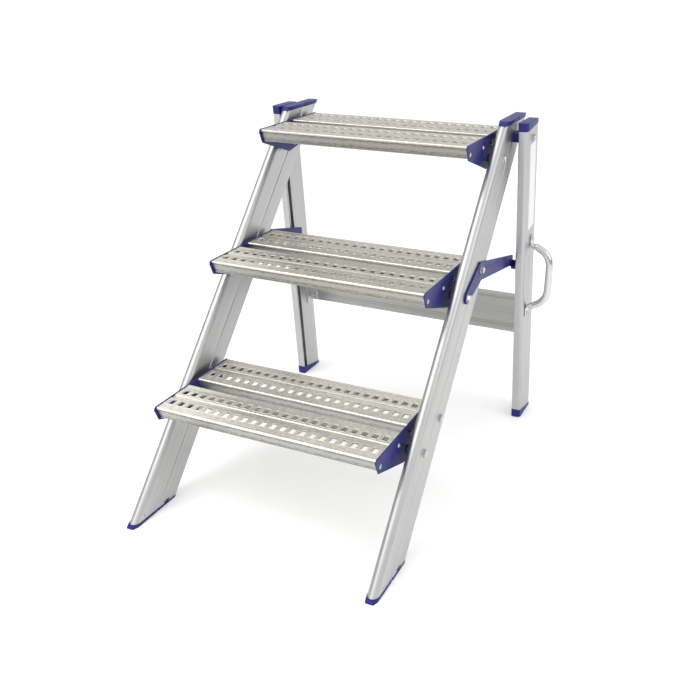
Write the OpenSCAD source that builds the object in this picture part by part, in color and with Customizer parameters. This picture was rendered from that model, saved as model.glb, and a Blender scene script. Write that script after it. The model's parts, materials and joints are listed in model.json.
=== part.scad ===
// Folding step ladder with three deep perforated treads.
// The treads are bolted between two sloping stiles. A rear frame of two legs and a
// crossbar hangs on two hinge bolts at the top and folds forward beside the stiles.
// +X is to the right of a person facing the steps, +Y points to the rear, +Z is up.
// The origin is the middle of the footprint, on the floor.

/* [Steps] */
// Height of each step, floor to tread and tread to tread
rise = 240; // [225:1:250]
// Length of each tread between its end brackets
tread_len = 480; // [400:10:560]
// Depth of one tread plank, front to back
plank_d = 113; // [105:1:120]
// Open gap between the front and the rear plank of a tread
plank_gap = 30; // [24:1:36]
// Height of the plank nose and of its rear flange
nose_h = 28; // [26:1:30]
// How far the foot of the nose is set back from its top edge
nose_set = 11; // [8:1:13]

/* [Punched holes] */
// Holes in one row
hole_count = 22; // [8:1:22]
// Spacing of the holes along the tread
hole_pitch = 21.4; // [18:0.1:21.4]
// Size of a hole along the tread
hole_w = 11; // [6:1:12]
// Size of a hole from front to back
hole_d = 17; // [8:1:18]

/* [Stiles] */
// Slope of the stiles from the floor, in degrees
stile_slope = 47.5; // [46:0.5:49]
// Depth of the stile profile
stile_d = 100; // [96:1:104]
// Thickness of the stile profile
stile_t = 23; // [20:1:25]
// Height of the cut top end of the stiles
stile_top = 738; // [734:1:742]

/* [Rear frame] */
// Lean of the rear legs from upright, in degrees
leg_lean = 6.6; // [6:0.2:7]
// Depth of the leg profile
leg_d = 83; // [80:1:86]
// Thickness of the leg profile
leg_t = 21; // [19:1:24]
// Height of the crossbar
bar_h = 100; // [80:1:110]
// Reach of the carry handle from the leg
handle_reach = 48.5; // [45:0.5:50]

/* [Hardware] */
// Thickness of the tread end brackets
bracket_t = 2.5; // [2:0.5:4]
// Length of the spacer tubes between bracket and stile
sleeve_len = 11.5; // [9:0.5:13]
// Gap between a stile and the rear leg beside it
leg_gap = 17; // [16:1:19]
// Diameter of the bolts through the stiles
bolt_dia = 10; // [8:1:10]

/* [Hidden] */
$fn = 48;
fit = 0.05;
overhang = 0.8;
big = 2000;

// Places across the ladder, measured from its middle plane
bracket_in = tread_len / 2;
bracket_out = bracket_in + bracket_t;
stile_in = bracket_out + sleeve_len;
stile_out = stile_in + stile_t;
leg_in = stile_out + leg_gap;
leg_out = leg_in + leg_t;

// Places from front to back, measured from the rear edge of the stiles at the floor
tread_front = -51.3;
tread_d = 2 * plank_d + plank_gap;
leg_front = 649.4;
run = rise / tan(stile_slope);

// Bolt and rivet places in a tread's own frame: [behind the front edge, above the top]
upper_bolt = [221, -14.5];
lower_bolt = [137.5, -49];
port_front = [14.5, -19.5];
port_rear = [98, -20.5];
port_r = 4.6;
rivet_r = 2.4;
bolt_r = bolt_dia / 2;
bore_r = bolt_r + fit;
sleeve_r = 9;
flange_r = 8.6;
flange_h = 1.2;
head_r = 8;
head_h = 6;
nut_r = 8.5;
nut_h = 8;

// Plank profile
skin = 2.6;
flange_t = 2.5;
lip = 8;
band_from = 50;
band_to = 64;
band_deep = 1.5;
hole_rows = [33, 80];

// Stile profile, measured forward from its rear edge
wall = 2.2;
groove_at = 45;
groove_w = 4.4;
groove_deep = 1.4;
rear_r = 2;
stile_nose_r = stile_t / 2;
web_from = 40;
web_to = 50;
foot_rear_h = 3;
foot_front_h = 6.7;
ear_from = 21;
ear_to = 30;
ear_top = 9;
cap_h = 8.5;
plug_len = 22;
plug_gap = 0.3;
cap_rivets = [[942, 56], [986, 9]];
foot_rivets = [[-58, 86], [-19, 36]];
end_rivet_r = 3;
end_rivet_shank = 1.6;

// Rear leg profile, measured rearward from its front edge
slot_from = 4;
slot_to = 18;
slot_deep = 16;
cell_from = 22;
leg_foot_front_h = 20.5;
leg_foot_rear_h = 5;
leg_top = 728.5;
leg_cap_top = 743;

// Hinge axis, and the same axis along and across the rear leg
hinge = [tread_front + 2 * run + upper_bolt[0], 3 * rise + upper_bolt[1]];
hinge_s = along_leg(hinge);
hinge_d = across_leg(hinge);
block_front = 23;
block_rear = 12;
block_below = 9;
block_above = 11;
block_play = 0.3;

// Stays: plates on the outer faces of the stiles
stay_t = 4;
stay_out = stile_out + stay_t;
stay_round = 13;
stay_end = 458;
stay_knee_top = upper_bolt + [-7, 19];
stay_knee_low = upper_bolt + [2.5, -23.5];
stay_end_top = -52;
stay_end_low = -76;
lip_t = 5;
lip_h = 16;
lip_out = 8;

// Stop studs in the slots of the rear legs
stud_at = [405, 12];
stud_r = 5.5;
stud_play = 1;

// Crossbar behind the legs, and the cleats that hold it
bar_low = 192;
bar_t = 14;
bar_skin = 2.5;
bar_half = leg_out - 7;
cleat_t = 3;
cleat_w = 18;
cleat_low = 196;
cleat_h = 92;
cleat_front = 48;
cleat_rivet_s = [212, 242, 272];

// Carry handle on the right leg
handle_at = [374, 38];
handle_tilt = 10;
handle_r = 8.6;
handle_half = 71.5;
handle_bend = 44;
tab_t = 4;
tab_end = 91;
screw_r = 3;

// Blank label on the right leg
label_at = [494, 24];
label_size = [200, 46];
label_t = 0.3;

// The origin sits at the middle of the footprint
reach_right = leg_out + handle_reach + handle_r;
reach_left = leg_out + block_play + head_h;
shift_x = -(reach_right - reach_left) / 2;
front_reach = -stile_d / sin(stile_slope) - overhang / sin(stile_slope);
rear_reach = leg_front + (leg_d + overhang) / cos(leg_lean);
shift_y = -(front_reach + rear_reach) / 2;

silver = [0.80, 0.81, 0.83];
warm_silver = [0.76, 0.76, 0.72];
navy = [0.20, 0.18, 0.52];
steel = [0.72, 0.74, 0.76];
chrome = [0.86, 0.87, 0.89];
white = [0.95, 0.95, 0.95];

function along_leg(p) = -(p[0] - leg_front) * sin(leg_lean) + p[1] * cos(leg_lean);
function across_leg(p) = (p[0] - leg_front) * cos(leg_lean) + p[1] * sin(leg_lean);
function tread_y(k) = tread_front + (k - 1) * run;
function in_tread(k, p) = [tread_y(k) + p[0], k * rise + p[1]];

module place() {
  translate([shift_x, shift_y, 0]) children();
}

// Mirrors its children to the left when side is -1
module on_side(side) {
  mirror([side < 0 ? 1 : 0, 0, 0]) children();
}

module both_sides() {
  for (side = [-1, 1]) on_side(side) children();
}

// Stile frame: Z runs up the stile from its rear edge at the floor, -Y points forward
module stile_frame() {
  rotate([stile_slope - 90, 0, 0]) children();
}

// Leg frame: Z runs up the leg from its front edge at the floor, +Y points rearward
module leg_frame() {
  translate([0, leg_front, 0]) rotate([leg_lean, 0, 0]) children();
}

// Extrudes a Y-Z outline along X from one place to another
module extrude_x(from, to) {
  translate([from, 0, 0])
    rotate([90, 0, 90])
      linear_extrude(to - from) children();
}

// Round bar along X through a Y-Z point
module bar_x(p, r, from, to) {
  translate([from, p[0], p[1]])
    rotate([0, 90, 0])
      cylinder(r = r, h = to - from);
}

// Domed head on a face at x, standing out towards +X
module dome_x(p, r, x, h) {
  ball = (r * r + h * h) / (2 * h);
  translate([x, p[0], p[1]])
    rotate([0, 90, 0])
      intersection() {
        translate([0, 0, h - ball]) sphere(r = ball, $fn = 64);
        cylinder(r = r, h = h);
      }
}

// Hexagon head on a round flange, standing out from a face at x
module bolt_head(p, x) {
  translate([x, p[0], p[1]])
    rotate([0, 90, 0]) {
      cylinder(r = flange_r, h = flange_h);
      cylinder(r = head_r, h = head_h, $fn = 6);
    }
}

// Outline of a stile grown by g on every side: X across, -Y forward
module stile_outline(g) {
  r = rear_r + g;
  translate([-g, -stile_d + stile_nose_r])
    square([stile_t + 2 * g, stile_d - stile_nose_r - rear_r]);
  translate([rear_r, -rear_r]) square([stile_t - 2 * rear_r, rear_r + g]);
  for (x = [rear_r, stile_t - rear_r])
    translate([x, -rear_r]) circle(r = r);
  translate([stile_nose_r, -stile_d + stile_nose_r]) circle(r = stile_nose_r + g);
}

// Outline of a stile's cap or foot, with a flat front between two chamfers
module stile_end_outline() {
  front = -stile_d - overhang;
  chamfer = [4.1, 8.8];
  stile_outline(overhang);
  polygon([
    [-overhang, front + 15], [-overhang, front + chamfer[1]],
    [chamfer[0] - overhang, front], [stile_t + overhang - chamfer[0], front],
    [stile_t + overhang, front + chamfer[1]], [stile_t + overhang, front + 15]
  ]);
}

// The two hollow cells of a stile, shrunk by g
module stile_cells(g) {
  w = wall + g;
  translate([w, -web_from + g]) square([stile_t - 2 * w, web_from - wall - 2 * g]);
  translate([w, -stile_d + stile_nose_r])
    square([stile_t - 2 * w, stile_d - stile_nose_r - web_to - g]);
  translate([stile_nose_r, -stile_d + stile_nose_r]) circle(r = stile_nose_r - w);
}

module stile_profile() {
  difference() {
    stile_outline(0);
    stile_cells(0);
    for (x = [-1, stile_t - groove_deep])
      translate([x, -groove_at - groove_w / 2]) square([groove_deep + 1, groove_w]);
  }
}

// Everything below the sloping bottom end of a stile
module below_stile_end() {
  length = stile_d / sin(stile_slope);
  tilt = atan((foot_front_h - foot_rear_h) / length);
  translate([0, 0, foot_rear_h])
    rotate([-tilt, 0, 0])
      translate([-big / 2, -big / 2, -big]) cube([big, big, big]);
}

module above(z) {
  translate([-big / 2, -big / 2, z]) cube([big, big, big]);
}

module below(z) {
  translate([-big / 2, -big / 2, z - big]) cube([big, big, big]);
}

// Long bar along a stile with the outline of its cap and foot
module stile_end_bar() {
  translate([stile_in, 0, 0])
    stile_frame()
      translate([0, 0, -200])
        linear_extrude(1400) stile_end_outline();
}

module stile_plugs() {
  translate([stile_in, 0, 0])
    stile_frame()
      translate([0, 0, -200])
        linear_extrude(1400) stile_cells(plug_gap);
}

module end_rivet_bores(spots) {
  stile_frame()
    for (p = spots)
      translate([stile_out - 8, -p[1], p[0]])
        rotate([0, 90, 0])
          cylinder(r = end_rivet_shank + fit, h = 20);
}

module end_rivet_bores_inside(spots) {
  stile_frame()
    for (p = spots)
      translate([stile_in - 10, -p[1], p[0]])
        rotate([0, 90, 0])
          cylinder(r = end_rivet_shank + fit, h = 18);
}

module stile(side) {
  color(silver)
    place()
      on_side(side)
        difference() {
          translate([stile_in, 0, 0])
            stile_frame()
              translate([0, 0, -200])
                linear_extrude(1400) stile_profile();
          above(stile_top);
          below_stile_end();
          for (k = [1 : 3]) {
            bar_x(in_tread(k, upper_bolt), bore_r, stile_in - 5, stile_out + 5);
            bar_x(in_tread(k, lower_bolt), bore_r, stile_in - 5, stile_out + 5);
          }
          end_rivet_bores(concat(cap_rivets, foot_rivets));
          end_rivet_bores_inside(concat(cap_rivets, foot_rivets));
        }
}

module stile_cap(side) {
  color(navy)
    place()
      on_side(side) {
        difference() {
          stile_end_bar();
          below(stile_top);
          above(stile_top + cap_h);
        }
        difference() {
          stile_plugs();
          below(stile_top - plug_len);
          above(stile_top);
          end_rivet_bores(cap_rivets);
          end_rivet_bores_inside(cap_rivets);
        }
      }
}

// Small ears that stand up from a foot along both faces of the stile
module foot_ears() {
  difference() {
    stile_frame()
      for (x = [stile_in - overhang, stile_out])
        translate([x, -ear_to, -100])
          cube([overhang, ear_to - ear_from, 200]);
    below(0);
    above(ear_top);
  }
}

module stile_foot(side) {
  color(navy)
    place()
      on_side(side) {
        intersection() {
          difference() {
            stile_end_bar();
            below(0);
          }
          below_stile_end();
        }
        foot_ears();
        difference() {
          stile_plugs();
          below_stile_end();
          above(foot_front_h + plug_len);
          end_rivet_bores(foot_rivets);
          end_rivet_bores_inside(foot_rivets);
        }
      }
}

// Small rivets that hold the caps and feet in the stiles, on both faces
module stile_end_rivets() {
  color(steel)
    place()
      both_sides()
        stile_frame()
          for (p = concat(cap_rivets, foot_rivets)) {
            dome_x([-p[1], p[0]], end_rivet_r, stile_out, 1);
            bar_x([-p[1], p[0]], end_rivet_shank, stile_out - 7, stile_out);
            mirror([1, 0, 0])
              dome_x([-p[1], p[0]], end_rivet_r, -stile_in, 1);
            bar_x([-p[1], p[0]], end_rivet_shank, stile_in, stile_in + 7);
          }
}

// Plank section in its own frame: X is the depth, Y is the height, top at zero
module plank_profile() {
  slant = nose_set / nose_h;
  inset = flange_t * sqrt(1 + slant * slant);
  low = nose_h - flange_t;
  difference() {
    union() {
      polygon([
        [nose_set, -nose_h], [nose_set + lip, -nose_h], [nose_set + lip, -low],
        [slant * low + inset, -low], [slant * skin + inset, -skin],
        [band_from - skin, -skin], [band_from - 1, -skin - band_deep],
        [band_to + 1, -skin - band_deep], [band_to + skin, -skin],
        [plank_d - flange_t, -skin], [plank_d - flange_t, -low],
        [plank_d - lip, -low], [plank_d - lip, -nose_h], [plank_d, -nose_h],
        [plank_d, 0], [band_to, 0], [band_to, -band_deep],
        [band_from, -band_deep], [band_from, 0], [0, 0]
      ]);
      translate(port_front) circle(r = port_r);
      translate(port_rear) circle(r = port_r);
      translate([port_rear[0] - 1, port_rear[1]]) square([2, -port_rear[1] - skin / 2]);
    }
    translate(port_front) circle(r = rivet_r + fit);
    translate(port_rear) circle(r = rivet_r + fit);
  }
}

module plank(k, behind) {
  color(warm_silver)
    place()
      translate([0, tread_y(k) + behind, k * rise])
        difference() {
          extrude_x(-tread_len / 2, tread_len / 2) plank_profile();
          for (y = hole_rows)
            for (i = [0 : hole_count - 1])
              translate([(i - (hole_count - 1) / 2) * hole_pitch - hole_w / 2,
                         y - hole_d / 2, -skin - 1])
                cube([hole_w, hole_d, skin + 2]);
        }
}

// Bracket outline in the tread's frame, with a rounded top front corner
module bracket_outline() {
  above_tread = 1;
  corner = 7;
  polygon([
    [-4, above_tread - corner], [7, -31], [125, -71], [216, -54], [tread_d, -12],
    [tread_d, above_tread], [-4 + corner, above_tread]
  ]);
  translate([-4 + corner, above_tread - corner]) circle(r = corner);
}

function bracket_rivet_spots() = [
  port_front, port_rear,
  port_front + [plank_d + plank_gap, 0], port_rear + [plank_d + plank_gap, 0]
];

module bracket(k, side) {
  color(navy)
    place()
      on_side(side)
        difference() {
          translate([0, tread_y(k), k * rise])
            extrude_x(bracket_in, bracket_out) bracket_outline();
          bar_x(in_tread(k, upper_bolt), bore_r, bracket_in - 5, bracket_out + 5);
          bar_x(in_tread(k, lower_bolt), bore_r, bracket_in - 5, bracket_out + 5);
          for (p = bracket_rivet_spots())
            bar_x(in_tread(k, p), rivet_r + fit, bracket_in - 5, bracket_out + 5);
        }
}

module bracket_rivets(k) {
  color(steel)
    place()
      both_sides()
        for (p = bracket_rivet_spots()) {
          dome_x(in_tread(k, p), 5, bracket_out, 2.5);
          bar_x(in_tread(k, p), rivet_r, bracket_out - 20, bracket_out);
        }
}

module spacer_tubes(k) {
  color(steel)
    place()
      both_sides()
        for (p = [upper_bolt, lower_bolt])
          difference() {
            bar_x(in_tread(k, p), sleeve_r, bracket_out, stile_in);
            bar_x(in_tread(k, p), bore_r, bracket_out - 1, stile_in + 1);
          }
}

// The stays lie under the heads of the middle tread's bolts
function head_face(k) = k == 2 ? stay_out : stile_out;
function bolt_spots(k) = k == 3 ? [lower_bolt] : [lower_bolt, upper_bolt];

module tread_bolts(k) {
  color(steel)
    place()
      both_sides()
        for (p = bolt_spots(k)) {
          bolt_head(in_tread(k, p), head_face(k));
          bar_x(in_tread(k, p), bolt_r, bracket_in - nut_h - 1, head_face(k));
        }
}

// Hexagon nut on the inner face of a bracket
module nut(p) {
  translate([bracket_in - nut_h, p[0], p[1]])
    rotate([0, 90, 0])
      difference() {
        cylinder(r = nut_r, h = nut_h, $fn = 6);
        translate([0, 0, -1]) cylinder(r = bore_r, h = nut_h + 2);
      }
}

module tread_nuts(k) {
  color(steel)
    place()
      both_sides()
        for (p = bolt_spots(k)) nut(in_tread(k, p));
}

// Stay outline in the middle tread's frame: a short arm along the stile and a long
// arm that falls gently to the rear leg
module stay_outline() {
  down = atan2(upper_bolt[1] - lower_bolt[1], upper_bolt[0] - lower_bolt[0]);
  side = [-sin(down), cos(down)] * stay_round;
  translate(lower_bolt) circle(r = stay_round);
  polygon([
    lower_bolt - side, stay_knee_low, [stay_end, stay_end_low],
    [stay_end, stay_end_top - 2], [stay_end - 3, stay_end_top + 1],
    stay_knee_top, lower_bolt + side
  ]);
}

module stay(side) {
  color(navy)
    place()
      on_side(side)
        difference() {
          translate([0, tread_y(2), 2 * rise]) {
            extrude_x(stile_out, stay_out) stay_outline();
            translate([stile_out, stay_end - lip_t, stay_end_low - 3])
              cube([stay_t + lip_out, lip_t, lip_h]);
          }
          bar_x(in_tread(2, upper_bolt), bore_r, stile_out - 5, stay_out + 5);
          bar_x(in_tread(2, lower_bolt), bore_r, stile_out - 5, stay_out + 5);
        }
}

module hinge_block(side) {
  color(navy)
    place()
      on_side(side)
        difference() {
          translate([stile_out, hinge[0] - block_front, hinge[1] - block_below])
            cube([leg_gap - block_play, block_front + block_rear, block_below + block_above]);
          bar_x(hinge, bore_r, stile_out - 5, leg_in + 5);
        }
}

module hinge_bolts() {
  color(steel)
    place()
      both_sides() {
        bolt_head(hinge, leg_out + block_play);
        bar_x(hinge, bolt_r, bracket_in - nut_h - 1, leg_out + block_play);
      }
}

module hinge_nuts() {
  color(steel)
    place()
      both_sides() nut(hinge);
}

// Leg outline grown by g: X across from the inner face, Y rearward from the front edge
module leg_outline(g) {
  front_out = 8;
  front_in = 3;
  r = rear_r + g;
  translate([-g, front_out]) square([leg_t + 2 * g, leg_d - rear_r - front_out]);
  translate([-g, front_in]) square([leg_t - front_out + g, front_out]);
  translate([front_in, -g]) square([leg_t - front_in - front_out, front_out + g]);
  translate([leg_t - front_out, front_out]) circle(r = front_out + g);
  translate([front_in, front_in]) circle(r = front_in + g);
  translate([rear_r, leg_d - rear_r]) square([leg_t - 2 * rear_r, rear_r + g]);
  for (x = [rear_r, leg_t - rear_r])
    translate([x, leg_d - rear_r]) circle(r = r);
}

module leg_cell(g) {
  w = wall + g;
  translate([w, cell_from + g]) square([leg_t - 2 * w, leg_d - wall - cell_from - 2 * g]);
}

module leg_bar(g = 0) {
  leg_frame()
    translate([leg_in, 0, -60])
      linear_extrude(900) leg_outline(g);
}

module leg_plug() {
  leg_frame()
    translate([leg_in, 0, -60])
      linear_extrude(900) leg_cell(plug_gap);
}

// Everything below the sloping bottom end of a leg
module below_leg_end() {
  tilt = atan((leg_foot_front_h - leg_foot_rear_h) / leg_d);
  translate([0, leg_front, leg_foot_front_h])
    rotate([-tilt, 0, 0])
      translate([-big / 2, -big / 2, -big]) cube([big, big, big]);
}

// Everything above the square-cut top end of a leg
module above_leg_end() {
  leg_frame()
    translate([-big / 2, -big / 2, leg_top]) cube([big, big, big]);
}

// Carry handle frame: Z runs along the grip, X points out of the leg's outer face
module handle_frame() {
  leg_frame()
    translate([leg_out, handle_at[1], handle_at[0]])
      rotate([-handle_tilt, 0, 0]) children();
}

module rear_leg(side) {
  color(silver)
    place()
      on_side(side)
        difference() {
          leg_bar();
          leg_frame()
            translate([leg_in, 0, -60])
              linear_extrude(900) {
                leg_cell(0);
                translate([-1, slot_from]) square([slot_deep + 1, slot_to - slot_from]);
              }
          above_leg_end();
          below_leg_end();
          bar_x(hinge, bolt_r + 0.08, leg_in - 5, leg_out + 5);
          leg_frame() {
            bar_x([stud_at[1], stud_at[0]], 3 + fit, leg_in + slot_deep - 1, leg_out - 2);
            for (s = cleat_rivet_s)
              bar_x([cleat_front + 14, s], rivet_r + fit, leg_in - 5, leg_in + 8);
          }
          if (side > 0)
            handle_frame()
              for (z = [-tab_end, tab_end])
                bar_x([0, z], screw_r + fit, -9, 5);
        }
}

module leg_cap(side) {
  color(navy)
    place()
      on_side(side) {
        intersection() {
          difference() {
            leg_bar(overhang);
            above(leg_cap_top);
          }
          above_leg_end();
        }
        difference() {
          leg_plug();
          above_leg_end();
          leg_frame() translate([0, 0, leg_top - 12]) below(0);
        }
      }
}

module leg_foot(side) {
  color(navy)
    place()
      on_side(side) {
        intersection() {
          difference() {
            leg_bar(overhang);
            below(0);
          }
          below_leg_end();
        }
        difference() {
          leg_plug();
          below_leg_end();
          above(leg_foot_front_h + plug_len);
        }
      }
}

// Stud in the slot of a rear leg; the stay's lip stands behind it when open
module stop_stud(side) {
  color(navy)
    place()
      on_side(side)
        leg_frame() {
          p = [stud_at[1], stud_at[0]];
          bar_x(p, stud_r, stay_out + stud_play, leg_in + slot_deep);
          bar_x(p, 3, leg_in + slot_deep, leg_out - 2.2);
        }
}

// Crossbar section: X is the depth behind the legs, Y is the height. Two channels
// open to the rear, and three fine grooves run along the front face
module bar_profile() {
  channel = (bar_h - 3 * bar_skin) / 2;
  difference() {
    square([bar_t, bar_h]);
    for (y = [bar_skin, 2 * bar_skin + channel])
      translate([bar_skin, y]) square([bar_t, channel]);
    for (y = [15, 21, bar_h - 9]) translate([-1, y]) square([1.8, 1.6]);
  }
}

module crossbar() {
  color(warm_silver)
    place()
      leg_frame()
        difference() {
          translate([0, leg_d, bar_low])
            extrude_x(-bar_half, bar_half) bar_profile();
          for (side = [-1, 1])
            for (s = cleat_rivet_s)
              translate([side * (leg_in - cleat_w / 2 - 1), leg_d - 5, s])
                rotate([-90, 0, 0]) cylinder(r = rivet_r + fit, h = 15);
        }
}

module crossbar_cleat(side) {
  color(silver)
    place()
      on_side(side)
        leg_frame()
          difference() {
            union() {
              translate([leg_in - cleat_t, cleat_front, cleat_low])
                cube([cleat_t, leg_d - cleat_front, cleat_h]);
              translate([leg_in - cleat_w, leg_d - cleat_t, cleat_low])
                cube([cleat_w, cleat_t, cleat_h]);
            }
            for (s = cleat_rivet_s) {
              bar_x([cleat_front + 14, s], rivet_r + fit, leg_in - 8, leg_in + 5);
              translate([leg_in - cleat_w / 2 - 1, leg_d - 8, s])
                rotate([-90, 0, 0]) cylinder(r = rivet_r + fit, h = 15);
            }
          }
}

// Rivets through the cleats into the legs
module cleat_rivets() {
  color(steel)
    place()
      both_sides()
        leg_frame()
          for (s = cleat_rivet_s) {
            bar_x([cleat_front + 14, s], rivet_r, leg_in - cleat_t, leg_in + 6);
            mirror([1, 0, 0])
              dome_x([cleat_front + 14, s], 4.5, -(leg_in - cleat_t), 2);
          }
}

// Rivets through the cleats into the crossbar
module crossbar_rivets() {
  color(steel)
    place()
      both_sides()
        leg_frame()
          for (s = cleat_rivet_s)
            translate([leg_in - cleat_w / 2 - 1, leg_d - cleat_t, s])
              rotate([90, 0, 0]) {
                rotate([0, -90, 0]) dome_x([0, 0], 4.5, 0, 2);
                translate([0, 0, -cleat_t - 6]) cylinder(r = rivet_r, h = cleat_t + 6);
              }
}

module handle_half_shape() {
  straight = handle_half - handle_bend;
  translate([handle_reach, 0, 0]) cylinder(r = handle_r, h = straight);
  translate([handle_reach - handle_bend, 0, straight])
    rotate([90, 0, 0])
      rotate_extrude(angle = 90) translate([handle_bend, 0]) circle(r = handle_r);
  bar_x([0, handle_half], handle_r, 0, handle_reach - handle_bend);
  difference() {
    union() {
      translate([0, -handle_r, handle_half]) cube([tab_t, 2 * handle_r, tab_end - handle_half]);
      bar_x([0, tab_end], handle_r, 0, tab_t);
    }
    bar_x([0, tab_end], screw_r + fit, -5, tab_t + 5);
  }
}

module carry_handle() {
  color(chrome)
    place()
      handle_frame() {
        handle_half_shape();
        mirror([0, 0, 1]) handle_half_shape();
      }
}

module handle_screws() {
  color(steel)
    place()
      handle_frame()
        for (z = [-tab_end, tab_end]) {
          dome_x([0, z], 6, tab_t, 3.5);
          bar_x([0, z], screw_r, -8, tab_t);
        }
}

module blank_label() {
  color(white)
    place()
      leg_frame()
        translate([leg_out, label_at[1], label_at[0]])
          cube([label_t, label_size[1], label_size[0]]);
}

stile(-1);  // left_stile
stile(1);  // right_stile
stile_cap(-1);  // left_stile_cap
stile_cap(1);  // right_stile_cap
stile_foot(-1);  // left_stile_foot
stile_foot(1);  // right_stile_foot
stile_end_rivets();
plank(1, 0);  // bottom_tread_front_plank
plank(1, plank_d + plank_gap);  // bottom_tread_rear_plank
plank(2, 0);  // middle_tread_front_plank
plank(2, plank_d + plank_gap);  // middle_tread_rear_plank
plank(3, 0);  // top_tread_front_plank
plank(3, plank_d + plank_gap);  // top_tread_rear_plank
bracket(1, -1);  // bottom_left_bracket
bracket(1, 1);  // bottom_right_bracket
bracket(2, -1);  // middle_left_bracket
bracket(2, 1);  // middle_right_bracket
bracket(3, -1);  // top_left_bracket
bracket(3, 1);  // top_right_bracket
bracket_rivets(1);  // bottom_bracket_rivets
bracket_rivets(2);  // middle_bracket_rivets
bracket_rivets(3);  // top_bracket_rivets
spacer_tubes(1);  // bottom_spacer_tubes
spacer_tubes(2);  // middle_spacer_tubes
spacer_tubes(3);  // top_spacer_tubes
tread_bolts(1);  // bottom_tread_bolts
tread_bolts(2);  // middle_tread_bolts
tread_bolts(3);  // top_tread_bolts
tread_nuts(1);  // bottom_tread_nuts
tread_nuts(2);  // middle_tread_nuts
tread_nuts(3);  // top_tread_nuts
stay(-1);  // left_stay
stay(1);  // right_stay
hinge_block(-1);  // left_hinge_block
hinge_block(1);  // right_hinge_block
hinge_bolts();
hinge_nuts();
rear_leg(-1);  // left_rear_leg
rear_leg(1);  // right_rear_leg
leg_cap(-1);  // left_leg_cap
leg_cap(1);  // right_leg_cap
leg_foot(-1);  // left_leg_foot
leg_foot(1);  // right_leg_foot
crossbar();
crossbar_cleat(-1);  // left_crossbar_cleat
crossbar_cleat(1);  // right_crossbar_cleat
cleat_rivets();
crossbar_rivets();
stop_stud(-1);  // left_stop_stud
stop_stud(1);  // right_stop_stud
carry_handle();
handle_screws();
blank_label();
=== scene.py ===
import json
import math

import bmesh
import bpy
from mathutils import Matrix, Vector


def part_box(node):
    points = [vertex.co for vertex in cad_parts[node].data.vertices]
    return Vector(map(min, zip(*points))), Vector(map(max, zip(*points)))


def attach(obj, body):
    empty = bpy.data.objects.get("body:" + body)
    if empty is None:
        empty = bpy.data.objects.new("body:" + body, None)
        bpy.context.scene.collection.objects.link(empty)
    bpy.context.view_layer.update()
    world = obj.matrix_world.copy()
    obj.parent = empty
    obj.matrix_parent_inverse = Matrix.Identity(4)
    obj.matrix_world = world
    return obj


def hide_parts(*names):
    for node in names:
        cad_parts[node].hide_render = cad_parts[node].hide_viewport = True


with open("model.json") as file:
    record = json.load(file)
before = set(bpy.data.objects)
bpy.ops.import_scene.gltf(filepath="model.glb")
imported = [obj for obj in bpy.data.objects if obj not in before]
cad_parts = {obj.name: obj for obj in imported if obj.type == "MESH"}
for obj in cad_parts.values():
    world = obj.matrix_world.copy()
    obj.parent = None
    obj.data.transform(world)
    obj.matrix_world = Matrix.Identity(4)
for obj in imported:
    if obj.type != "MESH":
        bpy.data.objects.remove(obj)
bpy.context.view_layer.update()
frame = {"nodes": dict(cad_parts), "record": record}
nodes = frame["nodes"]

MM = 0.001

# ------------------------------------------------------------------ sizes, mm
TREAD_LEN = 480.0
PLANK_D = 113.0
NOSE_H = 28.0
NOSE_SET = 11.0
SKIN = 2.6
FLANGE = 2.5
LIP = 8.0
BAND = (50.0, 64.0, 1.5)
HOLE_ROWS = (33.0, 80.0)
HOLE_COUNT, HOLE_PITCH = 22, 21.4
HOLE_HALF = (5.5, 8.5)
HOLE_BAND_HALF = 11.6
PORTS = ((14.5, -19.5), (98.0, -20.5))
PORT_R = 4.6
RIB_PITCH, RIB_DEPTH = 5.6, 0.4
PLANK_GAP = 30.0
# Grooves along the nose: from, to, depth
NOSE_GROOVES = ((-25.2, -23.8, 0.7), (-22.0, -21.2, 0.3), (-18.0, -17.2, 0.25),
                (-14.0, -13.2, 0.25), (-10.0, -9.2, 0.25), (-6.8, -4.8, 0.9))
NOSE_ROLL = 3.0

SLOPE = math.radians(47.5)
LEAN = math.radians(6.6)
STILE_D, STILE_T = 100.0, 23.0
STILE_IN = 254.0
STILE_OUT = STILE_IN + STILE_T
STILE_TOP, CAP_H = 738.0, 8.5
FOOT_REAR_H, FOOT_FRONT_H = 3.0, 6.7
EAR = (21.0, 30.0, 9.0)
GROOVE = (42.8, 47.2, 1.4)
LEG_D, LEG_T = 83.0, 21.0
LEG_IN = 294.0
LEG_OUT = LEG_IN + LEG_T
LEG_FRONT = 649.4
LEG_TOP, LEG_CAP_TOP = 728.5, 743.0
LEG_FOOT_FRONT_H, LEG_FOOT_REAR_H = 20.5, 5.0
SLOT = (4.0, 18.0, 16.0)
OVERHANG = 0.8
TREAD_FRONT = -51.3
RISE = 240.0
RUN = RISE / math.tan(SLOPE)
UPPER_BOLT, LOWER_BOLT = (221.0, -14.5), (137.5, -49.0)
BRACKET_OUT = 242.5
STAY_OUT = STILE_OUT + 4.0
BOLT_TIP = 231.0
BOLT_R, BOLT_H, BOLT_SHANK_R, HEXAGON_R = 8.6, 6.0, 4.9, 8.0
HINGE_PLAY = 0.3
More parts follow.
